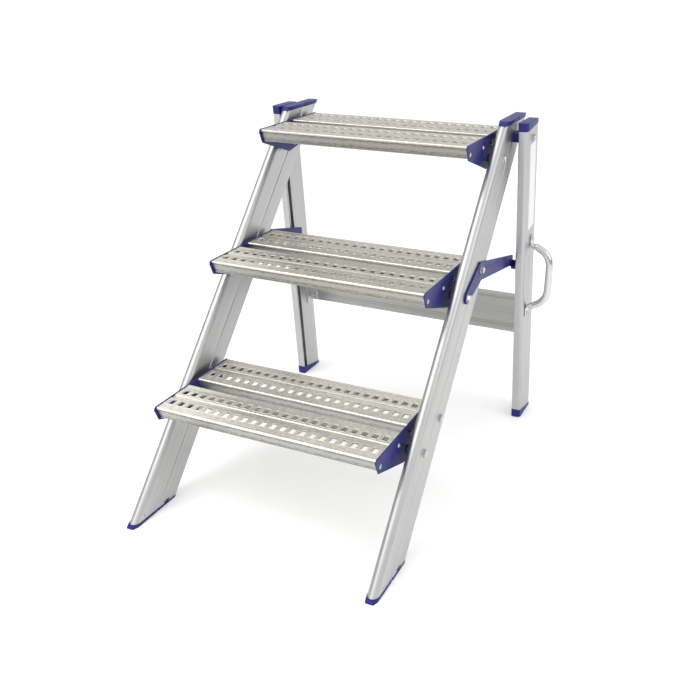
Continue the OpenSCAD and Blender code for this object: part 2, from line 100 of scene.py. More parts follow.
# Rivets and screws: radius, height, radius of the hollow
BRACKET_RIVET, END_RIVET = (5.0, 2.5, 2.3), (3.0, 1.0, 1.3)
CLEAT_RIVET, HANDLE_SCREW = (4.5, 2.0, 1.7), (6.0, 3.5, 2.2)
CLEAT_T, CLEAT_RIVET_DEPTH, BAR_RIVET_IN = 3.0, 62.0, 10.0
CAP_RIVETS = ((942.0, 56.0), (986.0, 9.0))
FOOT_RIVETS = ((-58.0, 86.0), (-19.0, 36.0))
CLEAT_S = (212.0, 242.0, 272.0)
HANDLE_AT = (374.0, 38.0)
HANDLE_TILT = math.radians(10)
HANDLE_REACH, HANDLE_R, HANDLE_HALF, HANDLE_BEND = 48.5, 8.6, 71.5, 44.0
TAB_T, TAB_END = 4.0, 91.0
TUBE_BEND = 9.0
# Label on the right leg: depths and heights of its edges, corner radius, thickness
LABEL_DEPTHS, LABEL_HEIGHTS, LABEL_CORNER, LABEL_T = (24.0, 70.0), (494.0, 694.0), 4.0, 0.3

# Where the working frame of those sizes stands in the row frame
plank_lo, plank_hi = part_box("bottom_tread_front_plank")
SHIFT = Vector(((plank_lo[0] + plank_hi[0]) / 2 / MM, plank_lo[1] / MM - TREAD_FRONT, 0))


# ------------------------------------------------------------------ materials
class Nodes:
    """A small helper that adds and links shader nodes."""

    def __init__(self, tree):
        self.tree = tree

    def add(self, kind, inputs=None, **props):
        n = self.tree.nodes.new(kind)
        for k, v in props.items():
            setattr(n, k, v)
        for k, v in (inputs or {}).items():
            if isinstance(v, bpy.types.NodeSocket):
                self.tree.links.new(v, n.inputs[k])
            else:
                n.inputs[k].default_value = v
        return n

    def coords(self, rotation=(0, 0, 0), scale=(1, 1, 1)):
        tc = self.add("ShaderNodeTexCoord")
        inverse = tuple(1 / s for s in scale)
        m = self.add("ShaderNodeMapping", {"Vector": tc.outputs["Object"], "Rotation": rotation,
                                           "Scale": inverse}, vector_type="TEXTURE")
        return m.outputs["Vector"]

    def noise(self, vec, scale, detail=2.0, rough=0.5):
        n = self.add("ShaderNodeTexNoise", {"Vector": vec, "Scale": scale, "Detail": detail,
                                            "Roughness": rough})
        return n.outputs["Fac"]

    def ramp(self, fac, stops):
        n = self.add("ShaderNodeValToRGB", {"Fac": fac})
        els = n.color_ramp.elements
        els[0].position, els[0].color = stops[0][0], (*stops[0][1], 1)
        els[1].position, els[1].color = stops[-1][0], (*stops[-1][1], 1)
        for pos, col in stops[1:-1]:
            e = els.new(pos)
            e.color = (*col, 1)
        return n.outputs["Color"]

    def remap(self, fac, lo, hi, src=(0.3, 0.7)):
        n = self.add("ShaderNodeMapRange", {"Value": fac, "From Min": src[0], "From Max": src[1],
                                            "To Min": lo, "To Max": hi})
        return n.outputs["Result"]

    def multiply(self, a, b, amount=1.0):
        n = self.add("ShaderNodeMix", {0: amount, 6: a, 7: b}, data_type="RGBA", blend_type="MULTIPLY")
        return n.outputs[2]

    def maths(self, op, a, b):
        n = self.add("ShaderNodeMath", {0: a, 1: b}, operation=op)
        return n.outputs[0]

    def bump(self, height, strength, distance, normal=None):
        inputs = {"Height": height, "Strength": strength, "Distance": distance}
        if normal is not None:
            inputs["Normal"] = normal
        return self.add("ShaderNodeBump", inputs).outputs["Normal"]


def grey(v, tint=(1, 1, 1)):
    return tuple(v * t for t in tint)


def new_material(name, constants):
    m = bpy.data.materials.new(name)
    m.use_nodes = True
    b = m.node_tree.nodes["Principled BSDF"]
    for k, v in constants.items():
        b.inputs[k].default_value = v
    return m, Nodes(m.node_tree), b


def tread_ribs_and_painted_shade(t, col, n, ribs):
    """Grooved tread top: ribs between the holes, painted shade in the grooves, painted shade on the
    front face.

    The modelled ribs stop at the hole bands, so a bump carries them across.
    Treads are darker the higher they are, as painted shade.
    """
    wave = t.add("ShaderNodeTexWave", {"Vector": t.coords(), "Scale": ribs, "Distortion": 0.0},
                 wave_type="BANDS", bands_direction="Y", wave_profile="SIN")
    tc = t.add("ShaderNodeTexCoord")
    y = t.add("ShaderNodeSeparateXYZ", {"Vector": tc.outputs["Object"]}).outputs["Y"]
    near = [t.maths("ABSOLUTE", t.maths("SUBTRACT", y, row * MM), 0.0) for row in HOLE_ROWS]
    inside = t.remap(t.maths("MINIMUM", *near), 1.0, 0.0, (0.0108, 0.0116))
    n = t.bump(t.maths("MULTIPLY", wave.outputs["Fac"], inside), 1.0, 0.00030, n)
    # Painted shade in the rib grooves: the wave darkens the base colour along every groove, broken up
    # by a mottle.
    mottle = t.noise(t.coords((0, 0, 0), (120, 300, 300)), 1.0, 2.0)
    groove_shade = t.maths("MULTIPLY", wave.outputs["Fac"], t.remap(mottle, 0.25, 1.0, (0.4, 0.6)))
    col = t.multiply(col, t.ramp(groove_shade, [(0.15, grey(1.0)), (0.85, (0.66, 0.655, 0.64))]))
    # Painted shade: the nose's front face, below the top, is darkened.
    z = t.add("ShaderNodeSeparateXYZ", {"Vector": tc.outputs["Object"]}).outputs["Z"]
    col = t.multiply(col, t.ramp(t.remap(z, 0.0, 1.0, (-0.0068, -0.0052)),
                                 [(0.0, NOSE_FACE_SHADE), (1.0, grey(1.0))]))
    # Painted shade: each tread's colour is darkened by its height, the higher the darker.
    spot = t.add("ShaderNodeObjectInfo").outputs["Location"]
    height = t.add("ShaderNodeSeparateXYZ", {"Vector": spot}).outputs["Z"]
    col = t.multiply(col, t.ramp(t.remap(height, 0.0, 1.0, (RISE * MM, 3 * RISE * MM)),
                                 [(0.0, grey(1.0)), (0.5, grey(0.85)), (1.0, grey(0.68))]))
    return col, n


def extruded_aluminium(name, along, rotation, level, tint, rough, streak=0.10, ribs=None):
    """Satin extrusion: fine die lines along the bar, soft clouding, faint handling marks."""
    m, t, b = new_material(name, {"Metallic": 1.0})
    fine, long = 700.0, 5.0
    scale = tuple(long if i == along else fine for i in range(3))
    lines = t.noise(t.coords(rotation, scale), 1.0, 3.0, 0.6)
    broad_scale = tuple(1.5 if i == along else 90.0 for i in range(3))
    broad = t.noise(t.coords(rotation, broad_scale), 1.0, 2.0)
    cloud = t.noise(t.coords(), 14.0, 4.0, 0.6)
    grain = t.noise(t.coords(), 1400.0, 1.0)
    col = t.ramp(lines, [(0.25, grey(level * (1 - streak), tint)), (0.5, grey(level, tint)),
                         (0.75, grey(level * (1 + streak), tint))])
    col = t.multiply(col, t.ramp(broad, [(0.3, grey(0.90)), (0.7, grey(1.0))]))
    col = t.multiply(col, t.ramp(cloud, [(0.3, (0.93, 0.935, 0.95)), (0.7, grey(1.0))]))
    scuff = t.noise(t.coords((0.3, 0.5, 0.9), (30, 420, 30)), 1.0, 5.0, 0.7)
    marks = t.ramp(scuff, [(0.66, grey(0.0)), (0.74, grey(1.0))])
    r = t.remap(lines, rough - 0.05, rough + 0.06)
    r = t.maths("ADD", r, t.remap(cloud, -0.03, 0.04))
    r = t.maths("ADD", r, t.maths("MULTIPLY", marks, 0.07))
    t.tree.links.new(r, b.inputs["Roughness"])
    n = t.bump(lines, 0.22, 0.00012)
    n = t.bump(grain, 0.10, 0.00006, n)
    if ribs is not None:
        col, n = tread_ribs_and_painted_shade(t, col, n, ribs)
    t.tree.links.new(col, b.inputs["Base Color"])
    t.tree.links.new(n, b.inputs["Normal"])
    return m


def blue_coat(name, rough, peel, peel_depth, level=1.0):
    """Blue powder coat or moulded plastic: orange peel, soft clouding, slightly rubbed."""
    m, t, b = new_material(name, {"Coat Weight": 0.06, "Coat Roughness": 0.25,
                                  "Specular IOR Level": 0.24})
    cloud = t.noise(t.coords(), 26.0, 4.0, 0.6)
    fine = t.noise(t.coords(), peel, 2.0)
    speck = t.noise(t.coords(), peel * 3.1, 1.0)
    col = t.ramp(cloud, [(0.28, (0.0155 * level, 0.0115 * level, 0.130 * level)),
                         (0.5, (0.018 * level, 0.0135 * level, 0.153 * level)),
                         (0.75, (0.023 * level, 0.018 * level, 0.176 * level))])
    col = t.multiply(col, t.ramp(speck, [(0.35, grey(0.86)), (0.6, grey(1.0))]))
    t.tree.links.new(col, b.inputs["Base Color"])
    r = t.maths("ADD", t.remap(cloud, rough - 0.05, rough + 0.06), t.remap(speck, -0.04, 0.04))
    t.tree.links.new(r, b.inputs["Roughness"])
    n = t.bump(fine, 0.25, peel_depth)
    n = t.bump(speck, 0.12, peel_depth * 0.4, n)
    t.tree.links.new(n, b.inputs["Normal"])
    return m


def plated(name, level, tint, rough, spots, scratch):
    """Zinc or chrome plate: fine speckle, hairline scratches, clouded gloss."""
    m, t, b = new_material(name, {"Metallic": 1.0})
    cloud = t.noise(t.coords(), 120.0, 3.0, 0.6)
    fine = t.noise(t.coords(), 1600.0, 1.0)
    hair = t.noise(t.coords((0.8, 0.3, 0.4), (60, 1500, 60)), 1.0, 4.0, 0.7)
    col = t.ramp(cloud, [(0.3, grey(level * (1 - spots), tint)), (0.7, grey(level, tint))])
    col = t.multiply(col, t.ramp(fine, [(0.3, grey(1 - spots)), (0.6, grey(1.0))]))
    t.tree.links.new(col, b.inputs["Base Color"])
    r = t.maths("ADD", t.remap(cloud, rough - 0.03, rough + 0.04), t.remap(hair, 0.0, scratch))
    t.tree.links.new(r, b.inputs["Roughness"])
    t.tree.links.new(t.bump(hair, 0.12, 0.00004), b.inputs["Normal"])
    return m


def film(name):
    """Blank white label film: faint fibre, slight yellowing, satin gloss."""
    m, t, b = new_material(name, {"Coat Weight": 0.2, "Coat Roughness": 0.25})
    cloud = t.noise(t.coords(), 30.0, 4.0, 0.6)
    fibre = t.noise(t.coords((0, 0, 0), (900, 900, 220)), 1.0, 3.0)
    col = t.ramp(cloud, [(0.3, (0.72, 0.73, 0.74)), (0.7, (0.80, 0.80, 0.79))])
    col = t.multiply(col, t.ramp(fibre, [(0.3, grey(0.95)), (0.6, grey(1.0))]))
    t.tree.links.new(col, b.inputs["Base Color"])
    t.tree.links.new(t.remap(cloud, 0.32, 0.42), b.inputs["Roughness"])
    t.tree.links.new(t.bump(fibre, 0.08, 0.00005), b.inputs["Normal"])
    return m


# A wave texture repeats every pi / (10 * scale)
RIB_SCALE = 0.1 * math.pi / (RIB_PITCH * MM)
STILE_ROT = (SLOPE - math.pi / 2, 0, 0)
LEG_ROT = (LEAN, 0, 0)
COOL, WARM = (1.0, 0.998, 0.985), (1.0, 0.98, 0.88)
# Colour of the painted shade on the nose's front face
NOSE_FACE_SHADE = (0.51, 0.515, 0.545)
mat = {
    "stile": extruded_aluminium("stile_aluminium", 2, STILE_ROT, 0.56, COOL, 0.42, 0.04),
    "leg": extruded_aluminium("leg_aluminium", 2, LEG_ROT, 0.54, (0.985, 0.988, 0.99), 0.42, 0.04),
    "tread": extruded_aluminium("tread_aluminium", 0, (0, 0, 0), 0.98, WARM, 0.38, 0.05, RIB_SCALE),
    "bar": extruded_aluminium("crossbar_aluminium", 0, LEG_ROT, 0.42, (1.0, 0.995, 0.965), 0.40, 0.10),
    "cleat": extruded_aluminium("cleat_aluminium", 2, LEG_ROT, 0.60, COOL, 0.34),
    "coat": blue_coat("blue_powder_coat", 0.36, 900.0, 0.00012),
    "plastic": blue_coat("blue_moulded_plastic", 0.42, 1500.0, 0.00008, 1.05),
    "zinc": plated("zinc_plate", 0.60, (0.97, 0.985, 1.0), 0.17, 0.12, 0.10),
    "chrome": plated("chrome_plate", 0.64, (0.985, 0.99, 1.0), 0.08, 0.04, 0.05),
    "label": film("label_film"),
    # Near-black steel for the rivet and screw hollows: the steel mandrel darkened as painted shade.
    "pin": plated("rivet_hollow_painted_shade", 0.10, (1.0, 0.97, 0.92), 0.40, 0.25, 0.10),
}
LOOK = {"profile_aluminium": "stile", "tread_aluminium": "tread", "blue_coated_metal": "coat",
        "blue_plastic": "plastic", "zinc_steel": "zinc", "chrome": "chrome", "label_film": "label"}
slot_of = {sp["node"]: sp["material_slot"] for sp in frame["record"]["subparts"]}


# ------------------------------------------------------------------ mesh helpers
def working(side, p):
    """A point of the working frame (x from the middle plane) as a row-frame vector in metres."""
    return (Vector((side * p[0], p[1], p[2])) + SHIFT) * MM


def stile_point(side, x, d, s):
    """x across from the middle plane, d forward from the rear edge, s up the stile."""
    return working(side, (x, s * math.cos(SLOPE) - d * math.sin(SLOPE),
                          s * math.sin(SLOPE) + d * math.cos(SLOPE)))


def leg_point(side, x, d, s):
    """x across from the middle plane, d rearward from the front edge, s up the leg."""
    return working(side, (x, LEG_FRONT - s * math.sin(LEAN) + d * math.cos(LEAN),
                          s * math.cos(LEAN) + d * math.sin(LEAN)))


def finish_mesh(name, bm, look, body, stands_for, sharp=35.0, bevel=0.0):
    """Turns a bmesh into a piece that rides on a body and stands for CAD nodes."""
    bmesh.ops.remove_doubles(bm, verts=bm.verts, dist=1e-6)
    bmesh.ops.recalc_face_normals(bm, faces=bm.faces)
    limit = math.radians(sharp)
    for f in bm.faces:
        f.smooth = True
    for e in bm.edges:
        e.smooth = len(e.link_faces) == 2 and e.calc_face_angle(0.0) < limit
    me = bpy.data.meshes.new(name)
    bm.to_mesh(me)
    bm.free()
    for part in look.split("+"):
        me.materials.append(mat[part])
    o = bpy.data.objects.new(name, me)
    bpy.context.scene.collection.objects.link(o)
    if bevel:
        mod = o.modifiers.new("edge", "BEVEL")
        mod.width, mod.segments, mod.limit_method = bevel * MM, 3, "ANGLE"
        mod.angle_limit = math.radians(30)
        mod.harden_normals = True
    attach(o, body)
    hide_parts(*stands_for)
    return o


def rounded(corners, seg=5):
    """Loop of 2D points from corners (x, y, radius), each corner rounded."""
    out = []
    n = len(corners)
    for i, (x, y, r) in enumerate(corners):
        p = Vector((x, y))
        a = Vector(corners[i - 1][:2]) - p
        b = Vector(corners[(i + 1) % n][:2]) - p
        a.normalize()
        b.normalize()
        if r <= 0:
            out.append(p)
            continue
        half = a.angle(b) / 2
        reach = r / math.tan(half)
        centre = p + (a + b).normalized() * (r / math.sin(half))
        u, v = p + a * reach - centre, p + b * reach - centre
        sweep = math.atan2(u.x * v.y - u.y * v.x, u.dot(v))
        steps = max(1, round(seg * abs(sweep) / (math.pi / 2)))
        for k in range(steps + 1):
            w = sweep * k / steps
            c, s = math.cos(w), math.sin(w)
            out.append(centre + Vector((u.x * c - u.y * s, u.x * s + u.y * c)))
    return out


def skin_loops(bm, loops, closed=True, caps=True):
    """Quads between successive loops of vectors, with flat ends."""
    rows = [[bm.verts.new(p) for p in loop] for loop in loops]
    n = len(rows[0])
    for a, b in zip(rows, rows[1:]):
        for i in range(n if closed else n - 1):
            j = (i + 1) % n
            bm.faces.new((a[i], a[j], b[j], b[i]))
    if caps:
        bm.faces.new(rows[0])
        bm.faces.new(rows[-1])
    return rows


def where(plane, at, d, z):
    """Height along a bar where the line at depth d meets a plane (y, z, normal y, normal z)."""
    y0, z0, ny, nz = plane
    p, q = at(1, 0, d, 0) / MM - SHIFT, at(1, 0, d, 1) / MM - SHIFT
    slope = (q.y - p.y) * ny + (q.z - p.z) * nz
    return z + -((p.y - y0) * ny + (p.z - z0) * nz) / slope


def prism(bm, outline, at, side, x0, low, high):
    """Bar whose outline (across, depth) runs between two planes."""
    loops = []
    for plane in (low, high):
        loops.append([at(side, x0 + p[0], p[1], where(plane, at, p[1], 0.0)) for p in outline])
    skin_loops(bm, loops)


def lathe(bm, place, profile, seg=28, hexed=(), painted_shade_from=None):
    """Solid of revolution: place(a, u, v) gives the point a along the axis, (u, v) across it."""
    loops = []
    for k, (a, r) in enumerate(profile):
        loop = []
        for i in range(seg):
            w = 2 * math.pi * i / seg
            rr = r
            if k in hexed:
                turn = (w % (math.pi / 3)) - math.pi / 6
                rr = r * math.cos(math.pi / 6) / math.cos(turn)
            loop.append(place(a, rr * math.cos(w), rr * math.sin(w)))
        loops.append(loop)
    rows = skin_loops(bm, loops)
    # Faces from this loop on take the second material, the painted shade of a hollow.
    if painted_shade_from is not None:
        dark = {v for row in rows[painted_shade_from:] for v in row}
        for v in dark:
            for f in v.link_faces:
                if all(q in dark for q in f.verts):
                    f.material_index = 1


# ------------------------------------------------------------------ planks
def plank_mesh():
    """One tread plank in its own frame: ribbed top, rolled nose, two rows of punched holes."""
    bm = bmesh.new()
    half = TREAD_LEN / 2
    tile_half = HOLE_PITCH / 2
    reach = HOLE_COUNT * tile_half
    stations = [-half] + [-reach + i * HOLE_PITCH / 6 for i in range(HOLE_COUNT * 6 + 1)] + [half]
    def ribbed(y0, y1):
        """Flat top with a rounded groove at every rib pitch, in step with the rib material."""
        pts = [(y0, 0.0)]
        for k in range(int(y0 / RIB_PITCH), int(y1 / RIB_PITCH) + 1):
            c = (k + 0.5) * RIB_PITCH
            if c - 0.3 * RIB_PITCH > y0 and c + 0.3 * RIB_PITCH < y1:
                pts += [(c + q * RIB_PITCH, -RIB_DEPTH * h) for q, h in
                        ((-0.28, 0), (-0.14, 0.7), (0, 1), (0.14, 0.7), (0.28, 0))]
        return pts + [(y1, 0.0)]

    slant = NOSE_SET / NOSE_H
    lean = math.sqrt(1 + slant * slant)
    inset = FLANGE * lean

    def on_nose(z, out=0.0):
        return (-z * slant - out * lean, z)

    front = [(NOSE_SET + LIP, -NOSE_H + FLANGE), (NOSE_SET + LIP, -NOSE_H + 0.4),
             (NOSE_SET + LIP - 0.4, -NOSE_H), (NOSE_SET + 0.9, -NOSE_H), on_nose(-NOSE_H + 0.9)]
    for z0, z1, deep in NOSE_GROOVES:
        front += [on_nose(z0), on_nose(z0 + 0.25, -deep), on_nose(z1 - 0.25, -deep), on_nose(z1)]
    for k in range(7):
        w = math.radians(200 - k * (200 - 90) / 6)
        front.append((NOSE_ROLL * 1.28 + NOSE_ROLL * math.cos(w),
                      -NOSE_ROLL + NOSE_ROLL * math.sin(w)))
    b1 = (HOLE_ROWS[0] - HOLE_BAND_HALF, HOLE_ROWS[0] + HOLE_BAND_HALF)
    b2 = (HOLE_ROWS[1] - HOLE_BAND_HALF, HOLE_ROWS[1] + HOLE_BAND_HALF)
    front += ribbed(5.6, b1[0])
    low = -NOSE_H + FLANGE
    under_front = [(slant * -low + inset, low), (slant * SKIN + inset, -SKIN), (b1[0], -SKIN)]
    under_front.reverse()
    chain_a = under_front + front
    y0, y1, deep = BAND
    middle = ribbed(b1[1], y0 - 0.8) + [(y0, -0.15), (y0 + 0.5, -deep + 0.1), (y0 + 0.9, -deep),
                                        (y1 - 2.6, -deep), (y1 - 2.1, -deep + 0.12),
                                        (y1 - 0.5, -0.12), (y1, 0.0)]
    middle += ribbed(y1 + 0.6, b2[0])
    under_mid = [(b2[0], -SKIN), (y1 + 1, -SKIN), (y1, -SKIN - deep), (y0, -SKIN - deep),
                 (y0 - 1, -SKIN), (b1[1], -SKIN)]
    rear = ribbed(b2[1], PLANK_D - 3)
    for k in range(1, 6):
        w = math.radians(90 - k * 90 / 5)
        rear.append((PLANK_D - 1.8 + 1.8 * math.cos(w), -1.8 + 1.8 * math.sin(w)))
    rear += [(PLANK_D, -8.0), (PLANK_D - 0.4, -8.3), (PLANK_D - 0.4, -9.2), (PLANK_D, -9.5),
             (PLANK_D, -NOSE_H + 0.6), (PLANK_D - 0.6, -NOSE_H), (PLANK_D - LIP + 0.4, -NOSE_H),
             (PLANK_D - LIP, -NOSE_H + 0.4), (PLANK_D - LIP, low), (PLANK_D - FLANGE, low),
             (PLANK_D - FLANGE, -SKIN), (b2[1], -SKIN)]

    def strip(chain):
        loops = [[Vector((x, y, z)) * MM for y, z in chain] for x in stations]
        skin_loops(bm, loops, closed=False, caps=False)

    for chain in (chain_a, middle, under_mid, rear):
        strip(chain)

    def hole_loop(cx, cy, grow, z, r=2.2):
        """Points round a rounded rectangle, starting at the middle of a corner."""
        hx, hy, r = HOLE_HALF[0] + grow, HOLE_HALF[1] + grow, r + grow * 0.8
        pts = []
        for qx, qy, start in ((-1, -1, 180), (1, -1, 270), (1, 1, 0), (-1, 1, 90)):
            ccx, ccy = cx + qx * (hx - r), cy + qy * (hy - r)
            arc = [(ccx + r * math.cos(math.radians(start + 22.5 * k)),
                    ccy + r * math.sin(math.radians(start + 22.5 * k))) for k in range(5)]
            pts.append(arc)
        out = []
        for i in range(4):
            here, nxt = pts[i], pts[(i + 1) % 4]
            mid = ((here[4][0] + nxt[0][0]) / 2, (here[4][1] + nxt[0][1]) / 2)
            out += [here[2], here[3], here[4], mid, nxt[0], nxt[1]]
        return [Vector((x, y, z)) * MM for x, y in out]

    def rect_loop(cx, cy, z):
        pts = []
        for (ax, ay), (bx, by) in (((-1, -1), (1, -1)), ((1, -1), (1, 1)), ((1, 1), (-1, 1)),
                                   ((-1, 1), (-1, -1))):
            for k in range(6):
                u = k / 6
                pts.append((cx + tile_half * (ax + (bx - ax) * u),
                            cy + HOLE_BAND_HALF * (ay + (by - ay) * u)))
        return [Vector((x, y, z)) * MM for x, y in pts]

    for cy in HOLE_ROWS:
        for i in range(HOLE_COUNT):
            cx = (i - (HOLE_COUNT - 1) / 2) * HOLE_PITCH
            skin_loops(bm, [rect_loop(cx, cy, 0), hole_loop(cx, cy, 2.8, 0.0),
                            hole_loop(cx, cy, 2.0, 0.12), hole_loop(cx, cy, 1.3, 0.42),
                            hole_loop(cx, cy, 0.9, 0.50), hole_loop(cx, cy, 0.5, 0.32),
                            hole_loop(cx, cy, 0.2, -0.4), hole_loop(cx, cy, -0.1, -SKIN),
                            rect_loop(cx, cy, -SKIN)], caps=False)
        for x0, x1 in ((-half, -reach), (reach, half)):
            for z in (0.0, -SKIN):
                rows = []
                for x in (x0, x1):
                    rows.append([Vector((x, cy - HOLE_BAND_HALF + k * HOLE_BAND_HALF / 3, z)) * MM
                                 for k in range(7)])
                skin_loops(bm, rows, closed=False, caps=False)
    bmesh.ops.remove_doubles(bm, verts=bm.verts, dist=2e-6)
    edges = [e for e in bm.edges if len(e.link_faces) == 1]
    bmesh.ops.holes_fill(bm, edges=edges, sides=0)
    for py, pz in PORTS:
        lathe(bm, lambda a, u, v: Vector((a, py + u, pz + v)) * MM,
              [(-half + 0.2, PORT_R - 2.0), (-half + 0.2, PORT_R), (half - 0.2, PORT_R),
               (half - 0.2, PORT_R - 2.0)], 20)
    return bm


plank_bm = plank_mesh()
plank_data = None
for tread in ("bottom", "middle", "top"):
    for place_name in ("front", "rear"):
        node = f"{tread}_tread_{place_name}_plank"
        lo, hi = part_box(node)
        if plank_data is None:
            o = finish_mesh(node + "_punched", plank_bm, "tread", "front_frame", [node], 28.0)
            plank_data = o.data
        else:
            o = bpy.data.objects.new(node + "_punched", plank_data)
            bpy.context.scene.collection.objects.link(o)
            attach(o, "front_frame")
            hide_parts(node)
        o.location = ((lo[0] + hi[0]) / 2, lo[1], hi[2])

# ------------------------------------------------------------------ stiles, caps, feet
stile_outline = rounded([
    (0, 0, 2), (0, GROOVE[0], 0.4), (GROOVE[2], GROOVE[0] + 2.0, 0.3), (GROOVE[2], GROOVE[1], 0.25),
    (0, GROOVE[1], 0.35), (0, STILE_D, 11.49), (STILE_T, STILE_D, 11.49), (STILE_T, GROOVE[1], 0.35),
    (STILE_T - GROOVE[2], GROOVE[1], 0.25), (STILE_T - GROOVE[2], GROOVE[0] + 2.0, 0.3),
    (STILE_T, GROOVE[0], 0.4), (STILE_T, 0, 2)], 12)
end_half = [
    (-OVERHANG, -OVERHANG, 2.8), (-OVERHANG, GROOVE[0] + 0.4, 0.3),
    (GROOVE[2] - 0.6, GROOVE[0] + 0.4, 0.2), (GROOVE[2] - 0.6, GROOVE[1] - 0.4, 0.2),
    (-OVERHANG, GROOVE[1] - 0.4, 0.3), (-OVERHANG, 92, 2), (3.3, STILE_D + OVERHANG, 1.5)]
stile_end_outline = rounded(end_half + [(STILE_T - x, y, r) for x, y, r in reversed(end_half)], 5)
foot_tilt = math.atan((FOOT_FRONT_H - FOOT_REAR_H) * math.sin(SLOPE) / STILE_D)
FLOOR = (0, 0, 0, 1)
STILE_BOTTOM = (0, FOOT_REAR_H, math.sin(foot_tilt), math.cos(foot_tilt))
STILE_CUT = (0, STILE_TOP, 0, 1)
STILE_CAP = (0, STILE_TOP + CAP_H, 0, 1)
leg_tilt = math.atan((LEG_FOOT_FRONT_H - LEG_FOOT_REAR_H) / LEG_D)
LEG_BOTTOM = (LEG_FRONT, LEG_FOOT_FRONT_H, math.sin(leg_tilt), math.cos(leg_tilt))
LEG_CUT = (LEG_FRONT - LEG_TOP * math.sin(LEAN), LEG_TOP * math.cos(LEAN),
           -math.sin(LEAN), math.cos(LEAN))
LEG_CAP = (0, LEG_CAP_TOP, 0, 1)


def leg_loop(g, slot):
    """Leg section grown by g, with or without the slot in its inner face."""
    pts = [(-g, -g, 3 + g), (LEG_T + g, -g, 8 + g),
           (LEG_T + g, LEG_D + g, 2 + g), (-g, LEG_D + g, 2 + g)]
    if slot:
        pts += [(0, SLOT[1], 0.5), (SLOT[2], SLOT[1], 0.4), (SLOT[2], SLOT[0], 0.4), (0, SLOT[0], 0.5)]
    return rounded(pts, 9)


for side, name in ((-1, "left"), (1, "right")):
    bm = bmesh.new()
    prism(bm, stile_outline, stile_point, side, STILE_IN, STILE_BOTTOM, STILE_CUT)
    finish_mesh(f"{name}_stile_profile", bm, "stile", "front_frame", [f"{name}_stile"], 25.0)
    bm = bmesh.new()
    prism(bm, stile_end_outline, stile_point, side, STILE_IN, STILE_CUT, STILE_CAP)
    finish_mesh(f"{name}_stile_cap_moulded", bm, "plastic", "front_frame",
                [f"{name}_stile_cap"], 35.0, 0.7)
    bm = bmesh.new()
    prism(bm, stile_end_outline, stile_point, side, STILE_IN, FLOOR, STILE_BOTTOM)
    ear_loop = rounded([(0, EAR[0], 0), (OVERHANG, EAR[0], 0.3),
                        (OVERHANG, EAR[1], 0.3), (0, EAR[1], 0)], 3)
    for x in (STILE_OUT, STILE_IN - OVERHANG):
        prism(bm, ear_loop, stile_point, side, x, (0, 1.0, 0, 1), (0, EAR[2], 0, 1))
    finish_mesh(f"{name}_stile_foot_moulded", bm, "plastic", "front_frame",
                [f"{name}_stile_foot"], 35.0, 0.4)
    bm = bmesh.new()
    prism(bm, leg_loop(0, True), leg_point, side, LEG_IN, LEG_BOTTOM, LEG_CUT)
    finish_mesh(f"{name}_leg_profile", bm, "leg", "rear_frame", [f"{name}_rear_leg"], 25.0)
    bm = bmesh.new()
    prism(bm, leg_loop(OVERHANG, False), leg_point, side, LEG_IN, LEG_CUT, LEG_CAP)
    finish_mesh(f"{name}_leg_cap_moulded", bm, "plastic", "rear_frame",
                [f"{name}_leg_cap"], 35.0, 0.8)
    bm = bmesh.new()
    prism(bm, leg_loop(OVERHANG, False), leg_point, side, LEG_IN, FLOOR, LEG_BOTTOM)
    finish_mesh(f"{name}_leg_foot_moulded", bm, "plastic", "rear_frame",
                [f"{name}_leg_foot"], 35.0, 0.6)


# ------------------------------------------------------------------ rivets, bolts
def dome(r, h, steps=7):
    ball = (r * r + h * h) / (2 * h)
    top = math.asin(min(1.0, r / ball)) if h <= r else math.pi / 2
    return [(h - ball + ball * math.cos(top * (1 - k / steps)), ball * math.sin(top * (1 - k / steps)))
            for k in range(steps)]


def rivet_head(bm, place, r, h, bore, seg=28):
    """Flanged dome with a hollow where the mandrel broke off, drawn in near-black steel as painted
    shade.
    """
    pts = [(-1.5, r * 0.45), (0.0, r * 0.45), (0.0, r * 0.98), (h * 0.18, r)]
    pts += [(a, q) for a, q in dome(r * 0.97, h, 8) if q > bore * 1.15 and a > h * 0.2]
    pts += [(h * 0.93, bore * 1.05), (h * 0.80, bore)]
    dark = len(pts) - 1
    pts += [(h * 0.1, bore * 0.92), (h * 0.1, bore * 0.5), (h * 0.35, bore * 0.25)]
    lathe(bm, place, pts, seg, (), dark)


def bolt_profile(r, h, shank):
    """Shank, and a hexagon head with a chamfered top on a round flange with a soft edge."""
    pts = [(-shank, BOLT_SHANK_R - 1.1), (0.8 - shank, BOLT_SHANK_R), (0.0, BOLT_SHANK_R),
           (0.0, r), (0.7, r), (1.0, r - 0.15), (1.25, r - 0.6)]
    first = len(pts)
    pts += [(1.3, HEXAGON_R), (h - 1.1, HEXAGON_R), (h - 0.35, HEXAGON_R - 1.0)]
    return pts + [(h - 0.1, 6.0), (h, 4.5), (h, 1.5)], tuple(range(first, first + 3))


def x_place(side, x, y, z, out=1):
    return lambda a, u, v: working(side, (x + out * a, y + u, z + v))


